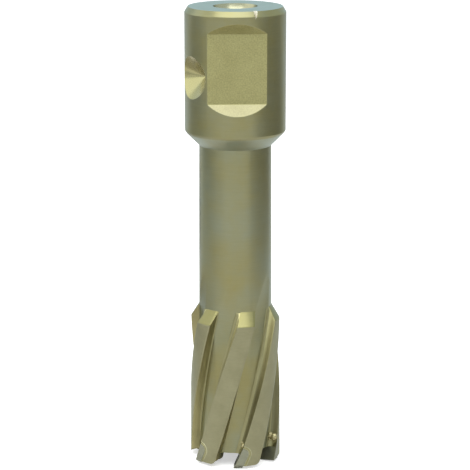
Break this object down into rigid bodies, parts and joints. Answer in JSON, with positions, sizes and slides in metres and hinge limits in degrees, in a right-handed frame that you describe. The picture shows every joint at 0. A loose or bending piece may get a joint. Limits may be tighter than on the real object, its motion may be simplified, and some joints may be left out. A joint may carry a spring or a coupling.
{
  "type": "annular cutter",
  "caption": "Upright annular cutter for magnetic drills: round shank with clamping flats, slim neck, helical flutes and brazed hard-metal tips round a hollow core.",
  "frame": {"origin": "on the axis, in the plane of the tooth points that the cutter stands on", "axes": "+Z along the axis from the teeth to the shank, -Y out of the front clamping flat"},
  "size_m": [0.019, 0.019, 0.0883],
  "materials": {
    "coated_steel": "satin, thin olive-gold coating",
    "hard_metal": "fine ground, satin",
    "braze": "satin"
  },
  "bodies": {
    "root": {"cutter_body": "coated_steel", "carbide_tip_1": "hard_metal", "carbide_tip_2": "hard_metal", "carbide_tip_3": "hard_metal", "carbide_tip_4": "hard_metal", "carbide_tip_5": "hard_metal", "carbide_tip_6": "hard_metal", "braze_seam_1": "braze", "braze_seam_2": "braze", "braze_seam_3": "braze", "braze_seam_4": "braze", "braze_seam_5": "braze", "braze_seam_6": "braze"}
  },
  "joints": []
}
